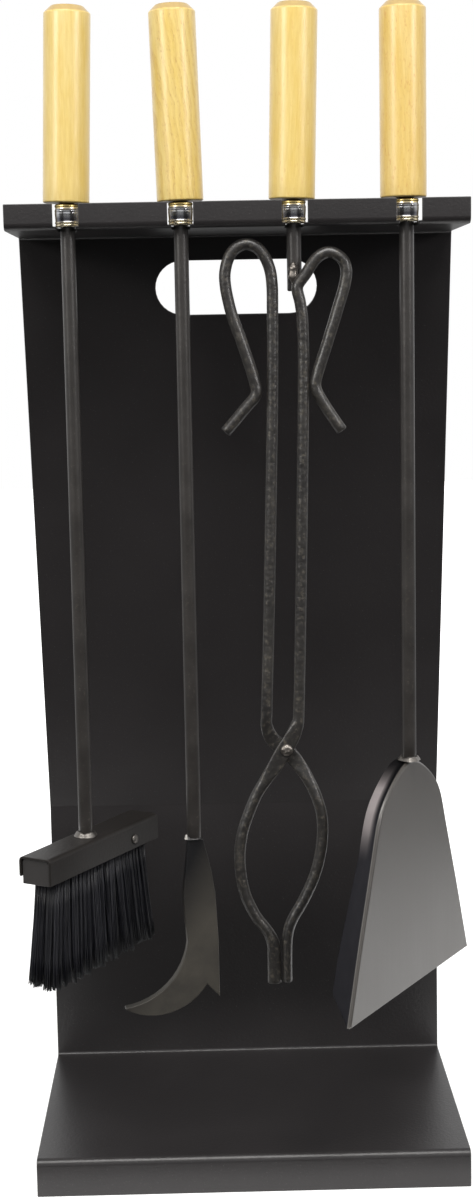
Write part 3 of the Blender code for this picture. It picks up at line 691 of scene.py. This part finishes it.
def bristle_tree():
    """Rows of tufts that fan out from the block; every size is a named input."""
    tree = bpy.data.node_groups.new("bristle_rows", "GeometryNodeTree")
    net = Net(tree)
    kinds = {int: "NodeSocketInt", float: "NodeSocketFloat", None: "NodeSocketMaterial"}
    sizes = {"Root Length": 0.08, "Root Width": 0.012, "Tip Length": 0.108, "Tip Width": 0.02}
    sizes |= {"Top": 0.193, "Bottom": 0.132, "Tuft Radius": 0.0013, "Bristle Radius": 0.00036}
    sizes |= {"Ragged": 0.006, "Wave": 0.0007}
    counts = {"Rows": 6, "Tufts in a Row": 25, "Bristles in a Tuft": 34, "Seed": 7}
    wanted = {**counts, **sizes, "Material": None}
    tree.interface.new_socket("Geometry", in_out="INPUT", socket_type="NodeSocketGeometry")
    for name, value in wanted.items():
        kind = kinds[value if value is None else type(value)]
        socket = tree.interface.new_socket(name, in_out="INPUT", socket_type=kind)
        if value is not None:
            socket.default_value = value
    tree.interface.new_socket("Geometry", in_out="OUTPUT", socket_type="NodeSocketGeometry")
    entry = tree.nodes.new("NodeGroupInput")
    given = {item.name: Wire(net, entry.outputs[item.name]) for item in entry.outputs if item.name}

    def vector(x, y, z):
        return net.add("ShaderNodeCombineXYZ", {}, [x, y, z])

    def kept(geometry, name, value, kind="FLOAT"):
        values = {"Geometry": geometry, "Name": name, "Value": value}
        settings = {"data_type": kind, "domain": "POINT"}
        return net.add("GeometryNodeStoreNamedAttribute", settings, values)

    def recalled(name, kind="FLOAT"):
        return net.add("GeometryNodeInputNamedAttribute", {"data_type": kind}, {"Name": name})

    def vector_math(operation, *values):
        return net.add("ShaderNodeVectorMath", {"operation": operation}, list(values))

    def chance(low, high, extra):
        node = tree.nodes.new("FunctionNodeRandomValue")
        node.data_type = "FLOAT"
        for key, value in (("Min", low), ("Max", high), ("ID", index), ("Seed", given["Seed"] + extra)):
            socket = next(s for s in node.inputs if s.name == key and s.enabled)
            if isinstance(value, Wire):
                tree.links.new(value.socket, socket)
            else:
                socket.default_value = value
        return Wire(net, next(s for s in node.outputs if s.enabled))

    field = {"Size X": given["Root Length"], "Size Y": given["Root Width"]}
    field |= {"Vertices X": given["Tufts in a Row"], "Vertices Y": given["Rows"]}
    grid = net.add("GeometryNodeMeshGrid", {}, field)
    points = net.add("GeometryNodeMeshToPoints", {}, {"Mesh": grid})
    index = net.add("GeometryNodeInputIndex")
    for name, extra in (("tuft_x", 11), ("tuft_y", 12), ("tuft_z", 13)):
        low = 0.0 if name == "tuft_z" else -1.0
        points = kept(points, name, chance(low, 1.0, extra))
    swing_x, swing_y, uneven_tuft = (recalled(name) for name in ("tuft_x", "tuft_y", "tuft_z"))
    copies = {"Geometry": points, "Amount": given["Bristles in a Tuft"]}
    points = net.add("GeometryNodeDuplicateElements", {"domain": "POINT"}, copies)
    home_x, home_y, _ = net.parts(net.add("GeometryNodeInputPosition"))
    spread = given["Tuft Radius"]
    root_x = home_x + chance(-1.0, 1.0, 1) * spread
    root_y = home_y + chance(-1.0, 1.0, 2) * spread
    fan_x, fan_y = given["Tip Length"] / given["Root Length"], given["Tip Width"] / given["Root Width"]
    tip_x = home_x * fan_x + (chance(-1.0, 1.0, 3) + swing_x * 0.9) * spread
    tip_y = home_y * fan_y + (chance(-1.0, 1.0, 4) + swing_y * 0.9) * spread
    uneven = chance(0.0, 1.0, 5)
    tip_z = given["Bottom"] + (uneven * uneven * 0.6 + uneven_tuft * 0.5) * given["Ragged"]
    root = vector(root_x, root_y, given["Top"])
    tip = vector(tip_x, tip_y, tip_z)
    reach = vector_math("SUBTRACT", tip, root)
    far = net.add("ShaderNodeVectorMath", {"operation": "LENGTH"}, [reach], output="Value")
    strand = {"Vertices": 4, "Side Segments": 4, "Depth": 1.0}
    strand |= {"Radius Top": given["Bristle Radius"] * 0.5, "Radius Bottom": given["Bristle Radius"]}
    cone = net.add("GeometryNodeMeshCone", {"fill_type": "NGON"}, strand)
    cone = kept(cone, "along", net.parts(net.add("GeometryNodeInputPosition"))[2])
    # What a strand needs is stored first, because moving its point changes where it is read.
    points = kept(points, "reach", reach, "FLOAT_VECTOR")
    points = kept(points, "far", far)
    points = kept(points, "strand", chance(0.0, 1.0, 6))
    moved = net.add("GeometryNodeSetPosition", {}, {"Geometry": points, "Position": root})
    # The cone points up its own Z, so it is turned onto the line from root to tip.
    way = recalled("reach", "FLOAT_VECTOR")
    turn = net.add("FunctionNodeAlignRotationToVector", {"axis": "Z"}, {"Vector": way})
    size = vector(1.0, 1.0, recalled("far"))
    planted = {"Points": moved, "Instance": cone, "Rotation": turn, "Scale": size}
    strands = net.add("GeometryNodeInstanceOnPoints", {}, planted)
    real = net.add("GeometryNodeRealizeInstances", {}, {"Geometry": strands})
    along = recalled("along")
    stretched = vector_math("MULTIPLY", net.add("GeometryNodeInputPosition"), (1.0, 1.0, 0.35))
    noisy = {"Vector": stretched, "Scale": 150.0, "Detail": 1.0}
    wave = net.add("ShaderNodeTexNoise", {}, noisy, output="Color")
    wave = vector_math("MULTIPLY", vector_math("SUBTRACT", wave, (0.5,) * 3), (1.0, 1.0, 0.0))
    push = along * along * given["Wave"] * 4.0
    scaled = net.add("ShaderNodeVectorMath", {"operation": "SCALE"}, {"Vector": wave, "Scale": push})
    bent = net.add("GeometryNodeSetPosition", {}, {"Geometry": real, "Offset": scaled})
    painted = net.add("GeometryNodeSetMaterial", {}, {"Geometry": bent, "Material": given["Material"]})
    exit_node = tree.nodes.new("NodeGroupOutput")
    tree.links.new(painted.socket, exit_node.inputs["Geometry"])
    return tree


def grow(name, tree, inputs):
    """Runs a tree on an empty mesh with these inputs and keeps the result as a plain mesh."""
    obj = bpy.data.objects.new(name, bpy.data.meshes.new(name))
    bpy.context.scene.collection.objects.link(obj)
    modifier = obj.modifiers.new("grow", "NODES")
    modifier.node_group = tree
    for item in tree.interface.items_tree:
        if item.in_out == "INPUT" and item.name in inputs:
            modifier[item.identifier] = inputs[item.name]
    bpy.context.view_layer.update()
    return settle(obj)


def make_brush(looks):
    body = "brush"
    rounded_copy("brush_cap", "brush_cover", 0.4, looks["cover"], body, "cover_paint")
    rounded_copy("brush_core", "brush_block", 0.35, looks["block"], body, "block_plastic")
    place = tool_place("brush", BRUSH_TURN) @ Matrix.Translation((BRUSH_SHIFT, 0, 0))

    low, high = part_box("brush_bristles")
    inputs = {
        "Top": high.z + 0.0002,
        "Bottom": low.z + 0.0003,
        "Root Length": TUFTS_ROOT[0],
        "Root Width": TUFTS_ROOT[1],
        "Tip Length": TUFTS_TIP[0],
        "Tip Width": TUFTS_TIP[1],
        "Material": looks["bristle"],
    }
    obj = grow("brush_tufts", bristle_tree(), inputs)
    metres = place.copy()
    metres.translation = place.translation * MM
    obj.data.transform(metres)
    obj.data.shade_smooth()
    enlist(obj, body, ["brush_bristles"])

    outward = Matrix.Rotation(math.pi / 2, 4, "X")
    at = place @ Matrix.Translation((29.5, -10.5 - GAP, 199.6)) @ outward
    bm = domed_rivet(head=2.8, height=1.3, shank=1.5, length=8.0, dent=0.12, seed=3.0)
    piece("brush_stud", bm, looks["bright"], body, "bright_steel", ["brush_rivet"], at, sharp=60.0)
    drops = {"z": 209.25, "reach": 3.0, "height": 3.1, "ripples": 3, "seed": 2.1}
    make_weld("brush", looks["bright"], "bright_steel", **drops)


# ---- poker


def make_poker(looks):
    rounded_copy("poker_plate", "poker_blade", 0.6, looks["blade"], "poker", "blade_steel")
    drops = {"z": 206.25, "reach": 1.5, "height": 2.6, "ripples": 4, "seed": 0.4}
    make_weld("poker", looks["spot"], "weld_metal", lobe=200.0, **drops)


# ---- tongs


def bar(x, z):
    """A station of a round bar in the tongs' own plane."""
    return (x, z, ARM_RADIUS, ARM_RADIUS, 0.0)


def strap(x, z, side, wide=4.6):
    """A station of the flattened crossing, in front (-1) or behind (+1)."""
    return (x, z, wide, STRAP_HALF, STRAP_STEP * side)


def right_arm():
    """From the finger loop on the right, under the rod's weld and over the rivet, to the left jaw."""
    found = [bar(24.3, 436.4), bar(15.0, 450.6), bar(10.5, 459.6), bar(11.4, 466.5)]
    found += [bar(17.0, 483.5), bar(22.8, 501.5), bar(27.6, 518.5), bar(26.4, 527.5)]
    found += [bar(19.4, 532.2), bar(12.2, 529.6), bar(5.6, 520.6), bar(1.2, 514.0)]
    found += [bar(2.6, 505.5), bar(3.8, 495.0), bar(3.8, 461.0), bar(0.8, 343.0), bar(-1.2, 279.5)]
    found += [(-2.2, 272.5, 3.7, 2.6, -0.6), strap(-5.8, 264.5, -1, 4.4), strap(-10.4, 257.0, -1)]
    found += [strap(-15.2, 249.0, -1, 4.2), (-20.8, 240.5, 3.5, 2.4, -0.7), bar(-26.8, 230.0)]
    found += [bar(-34.0, 210.0), bar(-35.6, 193.0), bar(-33.2, 176.0), bar(-27.4, 162.5)]
    found += [bar(-20.8, 153.4), (-17.6, 146.0, 3.7, 3.2, 0.0), (-17.0, 136.0, 4.0, 2.8, 0.0)]
    return found + [(-17.0, 122.8, 4.0, 2.6, 0.0)]


def left_arm():
    """From the finger loop on the left, behind the rivet, to the right jaw."""
    found = [bar(-39.0, 436.6), bar(-28.2, 449.0), bar(-22.2, 456.4), bar(-22.8, 463.5)]
    found += [bar(-28.9, 483.4), bar(-35.0, 501.4), bar(-38.0, 518.0), bar(-36.7, 527.6)]
    found += [bar(-33.0, 534.2), bar(-26.3, 537.4), bar(-19.6, 534.6), bar(-14.9, 527.6)]
    found += [bar(-12.7, 518.0), bar(-12.5, 501.0)]
    found += [bar(-13.3, 452.8), bar(-16.7, 343.1), bar(-19.1, 281.0)]
    found += [(-19.2, 271.5, 3.5, 2.6, 0.8), strap(-15.6, 263.4, 1, 4.2), strap(-8.6, 257.6, 1)]
    found += [strap(-2.4, 250.2, 1, 4.2), (3.0, 242.0, 3.5, 2.4, 0.8), bar(8.0, 231.0)]
    found += [bar(11.0, 219.0), bar(10.8, 203.5), bar(7.2, 187.0), bar(0.4, 171.4)]
    found += [bar(-6.6, 159.0), (-9.2, 150.0, 3.1, 3.6, 0.0), (-9.6, 136.0, 2.8, 3.9, 0.0)]
    return found + [(-9.6, 123.6, 2.8, 3.7, 0.0)]


def smooth_stations(stations, steps):
    """A smooth curve through stations; each station is (x, z, then any other values)."""
    knots = [0.0]
    for a, b in zip(stations, stations[1:]):
        knots.append(knots[-1] + math.sqrt(math.dist(a[:2], b[:2])))
    last = len(stations) - 1
    slopes = []
    for k in range(last + 1):
        low, high = max(k - 1, 0), min(k + 1, last)
        span = knots[high] - knots[low]
        slopes.append([(b - a) / span for a, b in zip(stations[low], stations[high])])
    found = []
    for k in range(last):
        span = knots[k + 1] - knots[k]
        far = math.dist(stations[k][:2], stations[k + 1][:2])
        count = max(steps, int(far / 4.0))
        for step in range(count):
            t = step / count
            ease = t * t * (3 - 2 * t)
            leave, arrive = t * (1 - t) ** 2 * span, t * t * (t - 1) * span
            values = zip(stations[k], stations[k + 1], slopes[k], slopes[k + 1])
            found.append([a + (b - a) * ease + leave * m + arrive * n for a, b, m, n in values])
    return found + [list(stations[-1])]


def forged_arm(stations, seed):
    """A bar swept along its stations, squarer where it is flattened, with forged dents."""
    path = smooth_stations(stations, 7)
    count, sides = len(path), 24
    rings = []
    for i, (x, z, wide, thick, y) in enumerate(path):
        before, after = path[max(i - 1, 0)], path[min(i + 1, count - 1)]
        along = Vector((after[0] - before[0], after[1] - before[1])).normalized()
        flat = min(1.0, max(0.0, (wide / thick - 1.0) / 1.6, (thick / wide - 1.0) / 1.6))
        power = 1.0 - 0.55 * flat
        ring = []
        for k in range(sides):
            angle = 2 * math.pi * (k + 0.5) / sides
            c, s = math.cos(angle), math.sin(angle)
            across = wide * math.copysign(abs(c) ** power, c)
            deep = thick * math.copysign(abs(s) ** power, s)
            spot = Vector((x + across, deep, z)) * 0.32
            dent = 1.0 - 0.045 * (0.5 + 0.5 * noise.noise(spot + Vector((seed, 0, 0))))
            across, deep = across * dent, deep * dent
            ring.append((x - along.y * across, y + deep, z + along.x * across))
        rings.append(ring)
    return skin([closed_in(rings[0], rings[1])] + rings + [closed_in(rings[-1], rings[-2])])


def closed_in(ring, beside):
    """A smaller ring just past an end, so that the bar's cut end has a worn edge."""
    centre = sum((Vector(point) for point in ring), Vector()) / len(ring)
    inner = sum((Vector(point) for point in beside), Vector()) / len(beside)
    onward = (centre - inner).normalized() * 0.5
    return [tuple(centre + (Vector(point) - centre) * 0.82 + onward) for point in ring]


def make_tongs(looks):
    place = tool_place("tongs") @ Matrix.Translation((0, ARM_PLANE_Y - TOOL_Y, 0))
    jobs = (
        ("tongs_bar_right", right_arm(), "tongs", "tongs_arm_right", 1.0),
        ("tongs_bar_left", left_arm(), "tongs_left_arm", "tongs_arm_left", 9.0),
    )
    for name, stations, body, node, seed in jobs:
        bm = forged_arm(stations, seed)
        piece(name, bm, looks["hammered"], body, "hammered_paint", [node], place, sharp=55.0)

    reach = STRAP_STEP + STRAP_HALF + 0.1
    at = place @ Matrix.Translation((RIVET_X, -reach, RIVET_Z)) @ Matrix.Rotation(math.pi / 2, 4, "X")
    bm = domed_rivet(head=3.4, height=1.9, shank=1.8, length=2 * reach, dent=0.35, seed=5.0, segments=36)
    piece("tongs_pin", bm, looks["weld"], "tongs", "weld_metal", ["tongs_rivet"], at, sharp=60.0)

    steps, segments = 16, 28
    rings = []
    for step in range(steps):
        angle = math.pi * (step + 0.5) / steps
        swell = math.sin(angle) * (1.0 + 0.12 * math.sin(3.3 * angle * 2))
        ring = []
        for x, y, z in ring_points(2.7 * swell, 521.5 - 6.0 * math.cos(angle), segments):
            push = 1.0 + 0.22 * noise.noise(Vector((x, y, z)) * 0.55)
            ring.append((x * push - 0.8, y * push * 0.93 - 5.2, z))
        rings.append(ring)
    bm, place = skin(rings), tool_place("tongs")
    piece("tongs_bead", bm, looks["weld"], "tongs", "weld_metal", ["tongs_weld"], place)


# ---- shovel


def pan_half():
    """Right half of the pan's outline from its front corner up to the middle, (u, z)."""
    low, knee = Vector((79.0, PAN_BOTTOM_Z)), Vector((63.2, 162.0))
    flare = [tuple(low.lerp(knee, part)) for part in (0.0, 0.12, 0.29, 0.47, 0.65, 0.83)]
    side = [(63.2, 162.0), (53.8, 187.0)]
    shoulder = [(48.0, 202.5), (44.0, 214.0), (40.6, 222.5), (36.0, 229.2), (30.0, 234.8)]
    return flare + side + shoulder + [(22.5, 240.2), (15.0, 244.6), (7.5, 247.8)]


def flange_depth(z):
    """How far the pan's rim stands off its face: deepest low down, nothing at the corner."""
    deep, shallow, full_z = 12.0, 8.5, PAN_BOTTOM_Z + 16.0
    if z < full_z:
        return 0.2 + deep * (z - PAN_BOTTOM_Z) / (full_z - PAN_BOTTOM_Z)
    return shallow + (deep - shallow) * max(0.0, min(1.0, (205.0 - z) / 55.0))


def smoothed(points, rounds):
    """Chaikin's corner cutting on an open line, keeping its ends."""
    for _ in range(rounds):
        found = [points[0]]
        for a, b in zip(points, points[1:]):
            found.append((0.75 * a[0] + 0.25 * b[0], 0.75 * a[1] + 0.25 * b[1]))
            found.append((0.25 * a[0] + 0.75 * b[0], 0.25 * a[1] + 0.75 * b[1]))
        points = found + [points[-1]]
    return points


def pan_section(depth):
    """The rim's cross-section, (inset from the outline, height off the face), outside first."""
    sheet, worn = PAN_SHEET, 0.3
    outer = min(1.9, depth * 0.8)
    inner = max(outer - sheet, 0.3)
    points = []
    for step in range(8):
        angle = math.pi / 2 * step / 7
        points.append((outer * (1 - math.sin(angle)), outer * (1 - math.cos(angle))))
    for step in range(1, 4):
        points.append((0.0, outer + (depth - worn - outer) * step / 3))
    points += [(0.3 * worn, depth - 0.3 * worn), (worn, depth), (sheet - worn, depth)]
    points += [(sheet - 0.3 * worn, depth - 0.3 * worn)]
    low = sheet + inner
    for step in range(4):
        points.append((sheet, depth - worn + (low - depth + worn) * step / 3))
    for step in range(1, 7):
        angle = math.pi / 2 * step / 6
        points.append((sheet + inner * (1 - math.cos(angle)), sheet + inner * (1 - math.sin(angle))))
    return [(inset, min(height, depth)) for inset, height in points]


def make_pan(looks):
    """One pressed sheet: a flat face, a rolled bend and a rim that stands off behind."""
    half = pan_half()
    outline = smoothed(half + [(0.0, PAN_TOP_Z)] + [(-u, z) for u, z in half[::-1]], 2)
    last = len(outline) - 1
    front = -PAN_SHEET
    sections = []
    for i, (u, z) in enumerate(outline):
        before, after = outline[max(i - 1, 0)], outline[min(i + 1, last)]
        along = Vector((after[0] - before[0], after[1] - before[1])).normalized()
        section = pan_section(PAN_SHEET + flange_depth(z))
        sections.append(
            [
                (u - along.y * inset, front + height, max(PAN_BOTTOM_Z, z + along.x * inset))
                for inset, height in section
            ]
        )
    bm = bmesh.new()
    rows = [[bm.verts.new(point) for point in section] for section in sections]
    for low, high in zip(rows, rows[1:]):
        for j in range(len(low) - 1):
            bm.faces.new((low[j], low[j + 1], high[j + 1], high[j]))
    bm.faces.new([row[0] for row in rows])
    bm.faces.new([row[-1] for row in rows])
    bm.faces.new(rows[0] + rows[-1][::-1])
    bmesh.ops.remove_doubles(bm, verts=bm.verts, dist=0.004)
    finish = {"place": tool_place("shovel", SHOVEL_TURN), "sharp": 50.0, "weigh": True}
    piece("shovel_scoop", bm, looks["pan"], "shovel", "pan_steel", ["shovel_pan"], **finish)


def make_shovel(looks):
    make_pan(looks)
    drops = {"z": 249.2, "reach": 2.9, "height": 3.0, "ripples": 3, "seed": 4.4}
    make_weld("shovel", looks["bright"], "bright_steel", **drops)


# ---- stand


def make_stand(looks):
    rounded_copy("stand_body", "stand_sheet", 0.45, looks["coat"], "stand", "stand_coat")
    rounded_copy("stand_foot", "rear_foot", 0.45, looks["coat"], "stand", "stand_coat")


# ---- studio


def make_paper():
    """White paper that glows a little, more with distance, so that it meets a white backdrop."""
    paper = Finish("floor_paper", Roughness=0.9, Specular_IOR_Level=0.1, Emission_Strength=1.0)
    far = paper.add("ShaderNodeVectorMath", {"operation": "LENGTH"}, [paper.place], output="Value")
    glow = paper.spread(far, 0.35, 1.5, 0.42, 1.0)
    tone = paper.blend(paper.grain(3.0), (0.80, 0.80, 0.80), (0.84, 0.84, 0.84))
    return paper.feed(Base_Color=tone, Emission_Color=paper.blend(glow, (0.0,) * 3, (1.0,) * 3))


def floor_piece(name, rings, paper, seen):
    """A flat piece of floor; only the near one shows in the object's reflections."""
    bm = bmesh.new()
    rows = [[bm.verts.new((x, y, 0.0)) for x, y in ring] for ring in rings]
    if len(rows) == 1:
        bm.faces.new(rows[0])
    else:
        outer, inner = rows
        for i in range(4):
            bm.faces.new((outer[i - 1], outer[i], inner[i], inner[i - 1]))
    floor = made(name, bm, paper)
    floor.visible_glossy = seen
    floor.visible_diffuse = seen


def make_floor():
    """Near paper with a wide sheet round it; the object mirrors only the near one."""
    (x0, y0), (x1, y1) = NEAR_FLOOR
    near = [(x0, y0), (x1, y0), (x1, y1), (x0, y1)]
    side = FLOOR_HALF
    outer = [(-side, -side), (side, -side), (side, side), (-side, side)]
    paper = make_paper()
    floor_piece("floor", [near], paper, True)
    floor_piece("floor_outer", [outer, near], paper, False)


def soft_box(name, place, aim, size, power, colour):
    """A rectangular area light that faces its aim."""
    data = bpy.data.lights.new(name, "AREA")
    data.shape = "RECTANGLE"
    data.size, data.size_y = size
    data.energy = power
    data.color = colour
    light = bpy.data.objects.new(name, data)
    light.location = place
    toward = Vector(aim) - Vector(place)
    light.rotation_euler = toward.to_track_quat("-Z", "Y").to_euler()
    bpy.context.scene.collection.objects.link(light)


def make_world():
    """White paper all round for the lens; for light, bright behind and dimmer in front."""
    world = bpy.data.worlds.new("studio")
    world.use_nodes = True
    bpy.context.scene.world = world
    net = Net(world.node_tree)
    way = net.add("ShaderNodeTexCoord", output="Generated")
    _, back, up = net.parts(way)

    def eased_from(*values):
        return net.add("ShaderNodeMapRange", {}, list(values))

    behind = eased_from(back, -0.35, 0.35, 0.0, 1.0)
    front_level = eased_from(up, -0.05, 0.06, WORLD_FRONT_LOW, WORLD_FRONT_HIGH)
    back_level = eased_from(up, -0.15, 0.05, WORLD_BACK_LOW, WORLD_BACK_HIGH)
    level = front_level * (1.0 - behind) + back_level * behind
    level = level * eased_from(up, 0.35, 0.8, 1.0, WORLD_TOP)
    seen = net.add("ShaderNodeLightPath", output="Is Camera Ray")
    level = level * (1.0 - seen) + seen
    background = world.node_tree.nodes["Background"]
    world.node_tree.links.new(level.socket, background.inputs["Strength"])
    background.inputs["Color"].default_value = (1.0, 1.0, 1.0, 1.0)


def make_camera():
    """A long-lens view from the front, eight degrees above the level."""
    pitch, yaw, roll = (math.radians(turn) for turn in (CAMERA_PITCH, CAMERA_YAW, CAMERA_ROLL))
    ahead = Vector((math.sin(yaw) * math.cos(pitch), math.cos(yaw) * math.cos(pitch), -math.sin(pitch)))
    level_right = Vector((math.cos(yaw), -math.sin(yaw), 0.0))
    level_down = ahead.cross(level_right)
    right = math.cos(roll) * level_right + math.sin(roll) * level_down
    down = -math.sin(roll) * level_right + math.cos(roll) * level_down
    data = bpy.data.cameras.new("camera")
    data.sensor_fit = "VERTICAL"
    data.sensor_height = CAMERA_SENSOR
    data.lens = CAMERA_LENS
    data.clip_start = 0.05
    camera = bpy.data.objects.new("camera", data)
    turn = Matrix((right, -down, -ahead)).transposed().to_4x4()
    camera.matrix_world = Matrix.Translation(CAMERA_PLACE) @ turn
    bpy.context.scene.collection.objects.link(camera)
    bpy.context.scene.camera = camera


def make_studio():
    make_floor()
    make_world()
    for settings in SOFT_BOXES:
        soft_box(*settings)
    bpy.context.scene.view_settings.view_transform = "Standard"


# ---- everything


def make_looks():
    """Every material by a short name; the woods' values are ring width, contrast, lean and marks."""
    looks = {
        "coat": powder_coat("black_powder_coat", (0.0165, 0.0150, 0.0155), 0.34, painted_low_shade=0.75),
        "cover": powder_coat("cover_coat", (0.0115, 0.0100, 0.0092), 0.42, 1.3, 0.28),
        "hammered": hammered(),
        "bright": bare_steel("bright_steel", (0.15, 0.14, 0.13), 0.40, 0.8, 1.6, 0.0005),
        "weld": bare_steel("weld_metal", (0.17, 0.155, 0.14), 0.36, 0.9, 1.0, 0.0003),
        "spot": weld_spot(),
        "blade": blade_coat(),
        "pan": pan_coat(),
        "bristle": bristle_fibre(),
        "block": moulded_plastic(),
    }
    woods = {
        "brush": (3.1, 0.12, 0.03, 0.0, 0.12, (1.0, 1.0, 1.0)),
        "poker": (3.4, 0.42, 0.13, 0.45, 0.20, (1.0, 1.0, 0.95)),
        "tongs": (2.6, 0.10, -0.03, 0.0, 0.30, (1.0, 0.99, 0.94)),
        "shovel": (2.9, 0.14, 0.04, 0.15, 0.60, (1.0, 0.95, 0.88)),
    }
    rod_tone = (0.024, 0.0215, 0.020)
    for tool, marks in woods.items():
        axis = tool_axis(tool)
        looks[tool + "_wood"] = turned_wood(tool + "_wood", tool, axis, *marks)
        looks[tool + "_chrome"] = chrome(tool)
        looks[tool + "_rod"] = rod_coat(tool + "_rod_coat", rod_tone, 0.33, axis)
    return looks


def main():
    make_camera()
    make_studio()
    looks = make_looks()
    make_stand(looks)
    for tool in TOOLS:
        make_handle(tool, looks[tool + "_wood"])
        make_ferrule(tool, looks[tool + "_chrome"])
        make_rod(tool, ROD_FEET[tool], looks[tool + "_rod"])
    make_brush(looks)
    make_poker(looks)
    make_tongs(looks)
    make_shovel(looks)


main()
